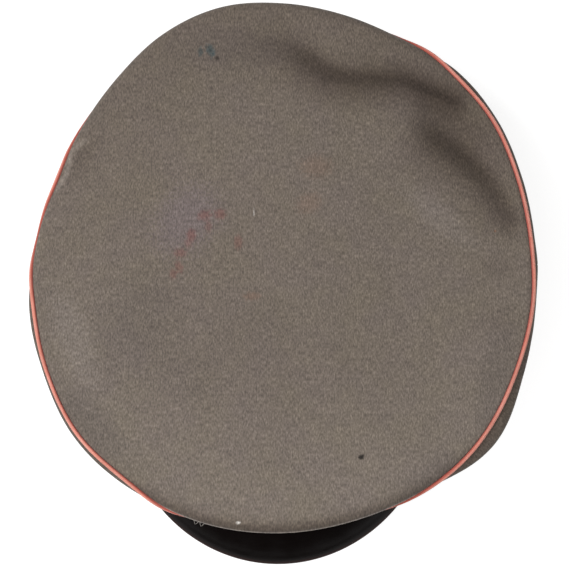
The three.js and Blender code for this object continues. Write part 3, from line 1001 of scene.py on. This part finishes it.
def new_group(name, inputs, outputs):
    """A shader node group with named inputs, whose defaults say their kinds, and named value outputs."""
    tree = bpy.data.node_groups.new(name, "ShaderNodeTree")
    for label, default in inputs.items():
        socket = tree.interface.new_socket(label, in_out="INPUT", socket_type=KINDS[type(default)])
        socket.default_value = default
    for label in outputs:
        tree.interface.new_socket(label, in_out="OUTPUT", socket_type="NodeSocketFloat")
    start = tree.nodes.new("NodeGroupInput")
    end = tree.nodes.new("NodeGroupOutput")
    return tree, start.outputs, end.inputs


def use(tree, build, **inputs):
    """Places the group that a function builds in a material, with its own values. It is built once."""
    name = build.__name__.replace("_", " ").title()
    made = tree.nodes.new("ShaderNodeGroup")
    made.node_tree = bpy.data.node_groups.get(name) or build(name)
    for label, value in inputs.items():
        feed(tree, made.inputs[label.title()], value)
    return made.outputs


def wool_weave(name):
    """Heathered fibres of a felted twill, drawn out along the warp."""
    inputs = {"Vector": ORIGIN, "Yarn": 0.0005, "Grain": 2.4, "Heather": 0.5}
    tree, given, result = new_group(name, inputs, ("Tone", "Height"))
    place = counted(tree, given["Vector"], given["Yarn"])
    drawn = vector_maths(tree, "DIVIDE", place, combined(tree, 1.0, given["Grain"], 1.0))
    fibres = noise_of(tree, drawn, detail=1.0, roughness=0.45)
    tufts = noise_of(tree, drawn, TUFT_SCALE, detail=1.0)
    fleck = plus(tree, times(tree, fibres, 1 - TUFT_SHARE), times(tree, tufts, TUFT_SHARE))
    swing = times(tree, maths(tree, "SUBTRACT", fleck, 0.5), given["Heather"])
    tree.links.new(maths(tree, "EXPONENT", swing), result["Tone"])
    apart = parted(tree, place)
    slant = plus(tree, apart["X"], times(tree, apart["Y"], TWILL_SLANT))
    twill = maths(tree, "SINE", times(tree, slant, math.pi))
    tree.links.new(plus(tree, times(tree, twill, TWILL_HEIGHT), fleck), result["Height"])
    return tree


def patches(name):
    """Soft uneven areas of a surface."""
    inputs = {"Vector": ORIGIN, "Size": 0.03, "Softness": 0.25}
    tree, given, result = new_group(name, inputs, ("Mask",))
    place = counted(tree, given["Vector"], given["Size"])
    uneven = noise_of(tree, place, detail=4.0, roughness=0.62)
    low = maths(tree, "SUBTRACT", 0.5, given["Softness"])
    high = plus(tree, 0.5, given["Softness"])
    tree.links.new(ramp(tree, uneven, low, high), result["Mask"])
    return tree


def spot(name):
    """A long or round mark with a ragged edge."""
    inputs = {"Vector": ORIGIN, "Place": ORIGIN, "Radii": (0.002, 0.001, 1.0), "Turn": 0.0}
    inputs.update({"Ragged": 1.3, "Grain": 0.0014})
    tree, given, result = new_group(name, inputs, ("Mask",))
    off = vector_maths(tree, "SUBTRACT", given["Vector"], given["Place"])
    back = {"Vector": off, "Angle": times(tree, given["Turn"], -1.0)}
    turned = add(tree, "ShaderNodeVectorRotate", back, rotation_type="Z_AXIS").outputs[0]
    away = vector_maths(tree, "LENGTH", vector_maths(tree, "DIVIDE", turned, given["Radii"]))
    uneven = noise_of(tree, counted(tree, given["Vector"], given["Grain"]))
    swing = times(tree, maths(tree, "SUBTRACT", uneven, 0.5), given["Ragged"])
    tree.links.new(ramp(tree, plus(tree, away, swing), *SPOT_EDGE), result["Mask"])
    return tree


def flecks(name):
    """Small scattered flecks of lint and dust. Share says how many of the places have one."""
    inputs = {"Vector": ORIGIN, "Spacing": 0.006, "Size": 0.06, "Share": 0.3}
    tree, given, result = new_group(name, inputs, ("Mask",))
    place = counted(tree, given["Vector"], given["Spacing"])
    cells = add(tree, "ShaderNodeTexVoronoi", {"Vector": place, "Scale": 1.0}).outputs
    near = maths(tree, "LESS_THAN", cells["Distance"], given["Size"])
    drawn = add(tree, "ShaderNodeSeparateColor", {0: cells["Color"]}).outputs[0]
    chosen = maths(tree, "LESS_THAN", drawn, given["Share"])
    tree.links.new(times(tree, near, chosen), result["Mask"])
    return tree


def thread_twist(name):
    """Slanting yarns round a cord or thread."""
    tree, given, result = new_group(name, {"Vector": ORIGIN, "Pitch": 0.0006}, ("Tone", "Height"))
    place = counted(tree, given["Vector"], given["Pitch"])
    apart = parted(tree, place)
    turns = times(tree, plus(tree, apart["X"], apart["Y"]), 2 * math.pi)
    fibres = noise_of(tree, place, FIBRE_SCALE)
    twist = times(tree, maths(tree, "SINE", turns), TWIST_HEIGHT)
    tree.links.new(plus(tree, twist, fibres), result["Height"])
    swing = times(tree, maths(tree, "SUBTRACT", fibres, 0.5), FIBRE_CONTRAST)
    tree.links.new(plus(tree, swing, 1.0), result["Tone"])
    return tree


# ---------------------------------------------------------------- materials

WARM_SHADE = (1, 1.1, 1.17)  # powers of red, green and blue that make the cloth's painted shade browner
TWIST_PITCH = 0.0005  # of the threads' and the piping's yarns
DUST = (0.5, 0.47, 0.44)
SCRATCH_SLIMNESS = 12  # how many times longer the lacquer's scratches are than wide


def new_material(name, constants):
    """A material with one shader, whose unchanging values are set on its own sockets."""
    material = bpy.data.materials.new(name)
    material.use_nodes = True
    shader = material.node_tree.nodes["Principled BSDF"]
    for label, value in constants.items():
        shader.inputs[label].default_value = value
    return material, material.node_tree, shader.inputs


def bump(tree, height, depth, strength):
    """A normal from a height between 0 and 1, which is that deep in metres."""
    inputs = {"Height": height, "Distance": depth, "Strength": strength}
    return add(tree, "ShaderNodeBump", inputs).outputs["Normal"]


def uv_of(tree):
    return add(tree, "ShaderNodeUVMap", {}, uv_map=CLOTH_UV).outputs["UV"]


def object_place(tree):
    return add(tree, "ShaderNodeTexCoord", {}).outputs["Object"]


def mark_of(tree, label):
    return add(tree, "ShaderNodeAttribute", {}, attribute_name=label).outputs["Fac"]


def toned(tree, base, tone):
    """A colour made lighter and darker by a tone about 1, or by one for each of its three parts."""
    return mixed(tree, 1.0, base, tone, "MULTIPLY")


def warm_shade(tree, tone):
    """A tone of painted light and shade, made browner where it is darker."""
    parts = {part: maths(tree, "POWER", tone, power) for part, power in enumerate(WARM_SHADE)}
    return add(tree, "ShaderNodeCombineColor", parts).outputs[0]


def wool(name, stains=()):
    """Felted wool with warmer and cooler patches, stains and lint, with painted shade in some stains and
    painted light and shade from its tone mark.
    """
    cloth = cap().cloth
    material, tree, shader = new_material(name, {"Sheen Weight": 0.08, "Sheen Roughness": 0.4, "IOR": 1.4})
    vector = uv_of(tree)
    warm = use(tree, patches, vector=vector, size=cloth.patches)["Mask"]
    base = mixed(tree, warm, cloth.grey, cloth.olive)
    weave = use(tree, wool_weave, vector=vector, yarn=cloth.yarn, heather=cloth.heather)
    blotch = use(tree, patches, vector=vector, size=cloth.patches / 4, softness=0.4)["Mask"]
    base = toned(tree, base, ramp(tree, blotch, start=0.93, end=1.07))
    for stain in stains:
        place = (stain.x, stain.y, 0)
        radii = (stain.length, stain.width, 1)
        turn = math.radians(stain.turn)
        mask = use(tree, spot, vector=vector, place=place, radii=radii, turn=turn)["Mask"]
        base = laid_over(tree, base, stain.colour, mask, stain.strength)
    base = toned(tree, base, weave["Tone"])
    # painted light and shade from the mesh's tone mark
    base = toned(tree, base, warm_shade(tree, mark_of(tree, "tone")))
    lint = use(tree, flecks, vector=vector, spacing=0.018, size=0.02, share=0.35)["Mask"]
    base = laid_over(tree, base, cloth.lint, lint, strength=0.5)
    tree.links.new(base, shader["Base Color"])
    tree.links.new(ramp(tree, weave["Height"], start=0.98, end=0.86), shader["Roughness"])
    tree.links.new(bump(tree, weave["Height"], depth=0.00018, strength=0.6), shader["Normal"])
    return material


def coral_cloth():
    """The piping's cloth: a fine twill that is rubbed paler in places and soiled in others, with painted
    shade where it sinks into the seam.
    """
    piping = cap().piping
    material, tree, shader = new_material("coral_cloth", {"Sheen Weight": 0.2, "Sheen Roughness": 0.5})
    vector = uv_of(tree)
    rubbed = use(tree, patches, vector=vector, size=0.012, softness=0.3)["Mask"]
    base = laid_over(tree, piping.colour, piping.worn, rubbed, strength=0.45)
    soil_and_shade = use(tree, patches, vector=vector, size=0.028, softness=0.12)["Mask"]
    base = toned(tree, base, ramp(tree, soil_and_shade, start=0.88, end=1.0))
    # painted shade where the piping sinks into the seam
    base = mixed(tree, mark_of(tree, "seam"), base, piping.seam)
    twist = use(tree, thread_twist, vector=vector, pitch=TWIST_PITCH)
    tree.links.new(toned(tree, base, twist["Tone"]), shader["Base Color"])
    tree.links.new(ramp(tree, twist["Height"], start=0.95, end=0.8), shader["Roughness"])
    tree.links.new(bump(tree, twist["Height"], depth=0.0001, strength=0.6), shader["Normal"])
    return material


def lacquer():
    """Black lacquer with fine scratches, dust and a rubbed edge."""
    visor = cap().visor
    material, tree, shader = new_material("black_lacquer", {"IOR": 1.5, "Specular IOR Level": 0.1})
    vector = uv_of(tree)
    base = laid_over(tree, visor.colour, visor.edge, mark_of(tree, "edge"), strength=0.9)
    dust = use(tree, flecks, vector=vector, spacing=0.004, size=0.03, share=0.25)["Mask"]
    tree.links.new(laid_over(tree, base, DUST, dust, strength=0.10), shader["Base Color"])
    squeezed = vector_maths(tree, "MULTIPLY", vector, (1.0, SCRATCH_SLIMNESS, 1.0))
    scratches = use(tree, flecks, vector=squeezed, spacing=0.012, size=0.03, share=0.5)["Mask"]
    cloudy = use(tree, patches, vector=vector, size=0.012, softness=0.35)["Mask"]
    rough = ramp(tree, cloudy, start=0.16, end=0.26)
    tree.links.new(plus(tree, rough, times(tree, scratches, 0.2)), shader["Roughness"])
    tree.links.new(bump(tree, cloudy, depth=0.00006, strength=0.5), shader["Normal"])
    return material


def thread_cotton(name, tint):
    """Twisted cotton thread."""
    material, tree, shader = new_material(name, {"Roughness": 0.8, "Sheen Weight": 0.1})
    twist = use(tree, thread_twist, vector=object_place(tree), pitch=TWIST_PITCH)
    tree.links.new(mixed(tree, twist["Tone"], (0, 0, 0), tint), shader["Base Color"])
    tree.links.new(bump(tree, twist["Height"], depth=0.00006, strength=0.6), shader["Normal"])
    return material


def pale_floor():
    """The floor's surface, faintly uneven, which shines a little by itself."""
    stage = cap().stage
    shine = {"Emission Color": (1, 1, 1, 1), "Emission Strength": stage.glow}
    material, tree, shader = new_material("pale_floor", {"Base Color": (*stage.floor, 1), **shine})
    uneven = use(tree, patches, vector=object_place(tree), size=0.4)["Mask"]
    tree.links.new(ramp(tree, uneven, start=0.8, end=0.85), shader["Roughness"])
    return material


# ---------------------------------------------------------------- stitches

BEAD = {"Segments": 8, "Rings": 6, "Radius": 0.5}  # a stitch before it is drawn out
BAND_ROW = 0.004  # height of the row of stitches above the band's lower edge,
ROW_PROUD = 0.2  # and how far it stands out, as a share of the thread's thickness
SEAM_OFF = 1.6  # degrees from a side seam to the rows on both sides of it,
SEAM_RUN = slice(ROLL_STEPS + 6, -3)  # and the side cloth's steps that they follow
LOOSE_THREAD = (253.1, 255.4)  # bearings between which a loose thread curls along the front rim,
LOOSE_POINTS = 97  # in so many points
LOOSE_CURLS = 2  # and so many curls
LOOSE_SWAY = 0.0008  # how far a curl goes up and down above the roll,
LOOSE_MIDDLE = 1.2  # and its middle height there, in sways
LOOSE_ANGLE = 14  # where on the roll its middle is, in degrees above the outermost line,
LOOSE_SWING = 16  # and how many degrees it goes to and fro


def stitch_tree():
    """A tree that lays stitches of set pitch and length along the edges of a mesh."""
    tree = bpy.data.node_groups.new("Stitches", "GeometryNodeTree")
    sockets = [("Geometry", "Geometry"), ("Pitch", "Float"), ("Length", "Float"), ("Thickness", "Float")]
    sockets += [("Wobble", "Float"), ("Seed", "Int"), ("Material", "Material")]
    for label, kind in sockets:
        tree.interface.new_socket(label, in_out="INPUT", socket_type=f"NodeSocket{kind}")
    tree.interface.new_socket("Geometry", in_out="OUTPUT", socket_type="NodeSocketGeometry")
    given = tree.nodes.new("NodeGroupInput").outputs
    line = add(tree, "GeometryNodeMeshToCurve", {"Mesh": given["Geometry"]}).outputs["Curve"]
    spread = {"Curve": line, "Length": given["Pitch"]}
    points = add(tree, "GeometryNodeCurveToPoints", spread, mode="LENGTH").outputs
    bead = add(tree, "GeometryNodeMeshUVSphere", BEAD).outputs["Mesh"]
    most = combined(tree, given["Wobble"])
    least = combined(tree, times(tree, given["Wobble"], -1.0))
    drawn = {0: least, 1: most, "Seed": given["Seed"]}
    uneven = add(tree, "FunctionNodeRandomValue", drawn, data_type="FLOAT_VECTOR").outputs[0]
    heading = vector_maths(tree, "ADD", points["Tangent"], uneven)
    turned = add(tree, "FunctionNodeAlignRotationToVector", {"Vector": heading}, axis="Z").outputs[0]
    scale = combined(tree, given["Thickness"], given["Thickness"], given["Length"])
    laid = {"Points": points["Points"], "Instance": bead, "Rotation": turned, "Scale": scale}
    stitches = add(tree, "GeometryNodeInstanceOnPoints", laid).outputs["Instances"]
    real = add(tree, "GeometryNodeRealizeInstances", {"Geometry": stitches}).outputs["Geometry"]
    thread = {"Geometry": real, "Material": given["Material"]}
    coloured = add(tree, "GeometryNodeSetMaterial", thread).outputs["Geometry"]
    tree.links.new(coloured, tree.nodes.new("NodeGroupOutput").inputs["Geometry"])
    return tree


def stitch_rows():
    """The rows of stitches, as lines of points of the cap's own frame, a little outside the cloth."""
    bearing = all_round(BEARINGS)
    out = band_reach(bearing) + cap().stitch.thickness * ROW_PROUD
    row = np.stack([out, band_foot(bearing, out) + BAND_ROW], axis=-1)
    rows = [in_space(bearing, row[:, None])[:, 0]]
    for seam in SIDE_SEAMS:
        for off in (-SEAM_OFF, SEAM_OFF):
            beside = np.array([seam + off])
            rows.append(in_space(beside, side_surface(beside))[0, SEAM_RUN])
    return rows


def make_stitches():
    """The stitches along the band's lower edge and beside the two side seams."""
    points, edges = [], []
    for row in stitch_rows():
        first = len(points)
        points.extend(row)
        edges.extend((first + step, first + step + 1) for step in range(len(row) - 1))
    mesh = bpy.data.meshes.new("stitch_lines")
    mesh.from_pydata(placed(np.array(points)), edges, [])
    lines = new_object("stitch_lines", mesh)
    modifier = lines.modifiers.new("Stitches", "NODES")
    modifier.node_group = stitch_tree()
    stitch = cap().stitch
    values = {
        "Pitch": stitch.pitch,
        "Length": stitch.length,
        "Thickness": stitch.thickness,
        "Wobble": stitch.wobble,
        "Seed": stitch.seed,
        "Material": thread_cotton("thread", stitch.colour),
    }
    for item in modifier.node_group.interface.items_tree:
        if item.in_out == "INPUT" and item.name in values:
            modifier[item.identifier] = values[item.name]
    return plain_mesh("seam_stitches", lines)


def make_loose_thread():
    """A loose end of thread that curls along the front rim."""
    turn = np.linspace(0, 360 * LOOSE_CURLS, LOOSE_POINTS)
    bearing = np.linspace(*LOOSE_THREAD, LOOSE_POINTS)
    away = cap().crown.roll + LOOSE_SWAY * (LOOSE_MIDDLE + sine(turn))
    angle = LOOSE_ANGLE + LOOSE_SWING * cosine(turn)
    path = roll_at(bearing).point(angle[:, None], away[:, None])
    points = placed(in_space(bearing, path)[:, 0])
    curve = bpy.data.curves.new("loose_thread", "CURVE")
    curve.dimensions = "3D"
    curve.bevel_depth = cap().stitch.thickness / 4
    curve.bevel_resolution = 1
    curve.use_fill_caps = True
    line = curve.splines.new("POLY")
    line.points.add(LOOSE_POINTS - 1)
    line.points.foreach_set("co", np.column_stack([points, np.ones(LOOSE_POINTS)]).ravel())
    curve.materials.append(thread_cotton("loose_cotton", cap().cloth.lint))
    return plain_mesh("loose_thread", new_object("loose_curve", curve))


def plain_mesh(name, source):
    """The evaluated object as a plain mesh; the source is removed."""
    evaluated = source.evaluated_get(bpy.context.evaluated_depsgraph_get())
    mesh = bpy.data.meshes.new_from_object(evaluated)
    if not mesh.polygons:
        raise RuntimeError(f"{name} came out empty")
    mesh.shade_smooth()
    bpy.data.objects.remove(source)
    return new_object(name, mesh)


# ---------------------------------------------------------------- stage

BACKDROP = (1.0, 1.0, 1.0)
ROOM = (0.10, 0.10, 0.10)
FLOOR_HALF = 3.0


def area_light(name, place, power, width):
    """A square soft light that faces the crown."""
    light = bpy.data.lights.new(name, "AREA")
    light.energy = power
    light.size = width
    lamp = new_object(name, light)
    lamp.location = place
    heading = Vector((0, 0, cap().crown.height)) - Vector(place)
    lamp.rotation_euler = heading.to_track_quat("-Z", "Y").to_euler()


def make_floor():
    mesh = bpy.data.meshes.new("floor")
    corners = [(-1, -1), (1, -1), (1, 1), (-1, 1)]
    mesh.from_pydata([(x * FLOOR_HALF, y * FLOOR_HALF, FLOOR) for x, y in corners], [], [(0, 1, 2, 3)])
    mesh.materials.append(pale_floor())
    new_object("floor", mesh)


def make_world():
    """A pale backdrop, and a dimmer room for what is reflected and for the shadows."""
    world = bpy.data.worlds.new("studio")
    world.use_nodes = True
    tree = world.node_tree
    seen = add(tree, "ShaderNodeLightPath", {}).outputs["Is Camera Ray"]
    tree.links.new(mixed(tree, seen, ROOM, BACKDROP), tree.nodes["Background"].inputs["Color"])
    bpy.context.scene.world = world


def make_camera():
    stage = cap().stage
    camera = bpy.data.cameras.new("camera")
    camera.lens = stage.lens
    camera.clip_end = 20
    eye = new_object("camera", camera)
    eye.location = (*stage.camera_place, stage.camera_height)
    bpy.context.scene.camera = eye


# ---------------------------------------------------------------- operators


class VISORCAP_OT_stage(Operator):
    """Make the floor, the lights, the backdrop and the camera"""

    bl_idname = "visor_cap.stage"
    bl_label = "Stage"

    def execute(self, context):
        stage = cap().stage
        make_floor()
        make_world()
        area_light("key", place=(-1.60, 0.52, 2.00), power=stage.key, width=1.1)
        area_light("fill", place=(0.0, -0.3, 1.5), power=stage.fill, width=1.2)
        make_camera()
        context.scene.view_settings.view_transform = "Standard"
        return {"FINISHED"}


class VISORCAP_OT_crown_top(Operator):
    """Make the top cloth"""

    bl_idname = "visor_cap.crown_top"
    bl_label = "Crown Top"

    def execute(self, context):
        made = make_crown_top()
        keep(made, wool("crown_wool", STAINS), "crown_top")
        return {"FINISHED"}


class VISORCAP_OT_crown_sides(Operator):
    """Make the two halves of the side cloth"""

    bl_idname = "visor_cap.crown_sides"
    bl_label = "Crown Sides"

    def execute(self, context):
        material = wool("side_wool")
        left, right = SIDE_SEAMS
        for half, start, end in (("back", left, right), ("front", right, left + 360)):
            made = make_crown_side(f"side_cloth_{half}", start, end)
            keep(made, material, f"crown_side_{half}")
        return {"FINISHED"}


class VISORCAP_OT_piping(Operator):
    """Make the piping"""

    bl_idname = "visor_cap.piping"
    bl_label = "Piping"

    def execute(self, context):
        keep(make_piping(), coral_cloth(), "crown_piping")
        return {"FINISHED"}


class VISORCAP_OT_band(Operator):
    """Make the band"""

    bl_idname = "visor_cap.band"
    bl_label = "Band"

    def execute(self, context):
        made = make_band()
        keep(made, wool("band_wool"), "band")
        return {"FINISHED"}


class VISORCAP_OT_visor(Operator):
    """Make the visor"""

    bl_idname = "visor_cap.visor"
    bl_label = "Visor"

    def execute(self, context):
        keep(make_visor(), lacquer(), "visor")
        return {"FINISHED"}


class VISORCAP_OT_stitches(Operator):
    """Make the stitches and the loose thread"""

    bl_idname = "visor_cap.stitches"
    bl_label = "Stitches"

    def execute(self, context):
        for made in (make_stitches(), make_loose_thread()):
            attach(made, "root")
        return {"FINISHED"}


STEPS = (
    VISORCAP_OT_stage,
    VISORCAP_OT_crown_top,
    VISORCAP_OT_crown_sides,
    VISORCAP_OT_piping,
    VISORCAP_OT_band,
    VISORCAP_OT_visor,
    VISORCAP_OT_stitches,
)


class VISORCAP_PT_panel(Panel):
    """The cap's settings and its steps"""

    bl_label = "Visor Cap"
    bl_idname = "VISORCAP_PT_panel"
    bl_space_type = "VIEW_3D"
    bl_region_type = "UI"
    bl_category = "Visor Cap"

    def draw(self, context):
        for step in STEPS:
            self.layout.operator(step.bl_idname)
        for name in CapSettings.__annotations__:
            box = self.layout.box()
            box.label(text=name.title())
            group = getattr(context.scene.visor_cap, name)
            for setting in group.__annotations__:
                box.prop(group, setting)


GROUPS = (
    CrownSettings,
    PipingSettings,
    BandSettings,
    VisorSettings,
    ClothSettings,
    StitchSettings,
    StageSettings,
    CapSettings,
)


def register():
    for part in (*GROUPS, *STEPS, VISORCAP_PT_panel):
        bpy.utils.register_class(part)
    bpy.types.Scene.visor_cap = PointerProperty(type=CapSettings)


def unregister():
    del bpy.types.Scene.visor_cap
    for part in reversed((*GROUPS, *STEPS, VISORCAP_PT_panel)):
        bpy.utils.unregister_class(part)


def main():
    register()
    bpy.ops.visor_cap.stage()
    bpy.ops.visor_cap.crown_top()
    bpy.ops.visor_cap.crown_sides()
    bpy.ops.visor_cap.piping()
    bpy.ops.visor_cap.band()
    bpy.ops.visor_cap.visor()
    bpy.ops.visor_cap.stitches()


if __name__ == "__main__":
    main()
